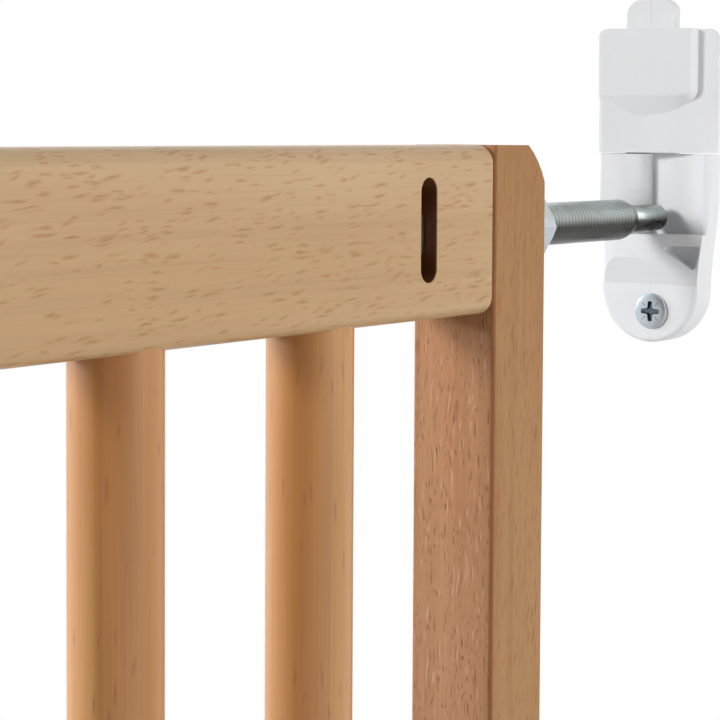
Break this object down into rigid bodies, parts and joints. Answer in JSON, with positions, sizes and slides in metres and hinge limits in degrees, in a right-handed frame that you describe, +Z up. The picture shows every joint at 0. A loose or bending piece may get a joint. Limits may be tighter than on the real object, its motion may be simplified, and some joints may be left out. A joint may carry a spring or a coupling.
{
  "type": "safety baby gate",
  "caption": "Beech baby gate with round bars, hung on bent hinge spindles, with threaded latch spindles whose pins rest in white wall latches, the upper one locked by a slide.",
  "frame": {"origin": "centre of the lower hinge bracket's screws on the hinge jamb's face", "axes": "+X along the gate to the latch jamb, +Z up, the front and the opening side towards -Y"},
  "size_m": [0.7952, 0.0292, 0.7645],
  "materials": {
    "beech": "clear satin lacquer",
    "zinc_steel": "bright zinc",
    "white_plastic": "moulded satin"
  },
  "bodies": {
    "wall_fittings": {"upper_latch_base": "white_plastic", "lower_latch_base": "white_plastic", "upper_hinge_bracket": "white_plastic", "lower_hinge_bracket": "white_plastic", "latch_screws": "zinc_steel", "hinge_screws": "zinc_steel"},
    "gate_panel": {"top_rail": "beech", "bottom_rail": "beech", "latch_post": "beech", "hinge_post": "beech", "bar_1": "beech", "bar_2": "beech", "bar_3": "beech", "bar_4": "beech", "bar_5": "beech", "bar_6": "beech", "bar_7": "beech", "bar_8": "beech", "bar_9": "beech", "frame_dowels": "beech", "upper_hinge_spindle": "zinc_steel", "upper_latch_lock_nut": "zinc_steel", "upper_hinge_lock_nut": "zinc_steel", "upper_latch_captive_nut": "zinc_steel", "upper_hinge_captive_nut": "zinc_steel", "lower_hinge_spindle": "zinc_steel", "lower_latch_lock_nut": "zinc_steel", "lower_hinge_lock_nut": "zinc_steel", "lower_latch_captive_nut": "zinc_steel", "lower_hinge_captive_nut": "zinc_steel"},
    "latch_slide": {"latch_slide": "white_plastic"},
    "upper_latch_spindle": {"upper_latch_spindle": "zinc_steel"},
    "lower_latch_spindle": {"lower_latch_spindle": "zinc_steel"}
  },
  "joints": [
    {"name": "gate_swing", "type": "hinge", "parent": "wall_fittings", "child": "gate_panel", "pos_m": [0.017, 0, 0], "axis": [0, 0, 1], "range_deg": [-90, 0]},
    {"name": "slide_lock", "type": "slide", "parent": "wall_fittings", "child": "latch_slide", "axis": [0, 0, 1], "range_m": [0, 0.014]},
    {"name": "upper_spindle_feed", "type": "slide", "parent": "gate_panel", "child": "upper_latch_spindle", "axis": [1, 0, 0], "range_m": [-0.03, 0]},
    {"name": "lower_spindle_feed", "type": "slide", "parent": "gate_panel", "child": "lower_latch_spindle", "axis": [1, 0, 0], "range_m": [-0.03, 0]}
  ]
}
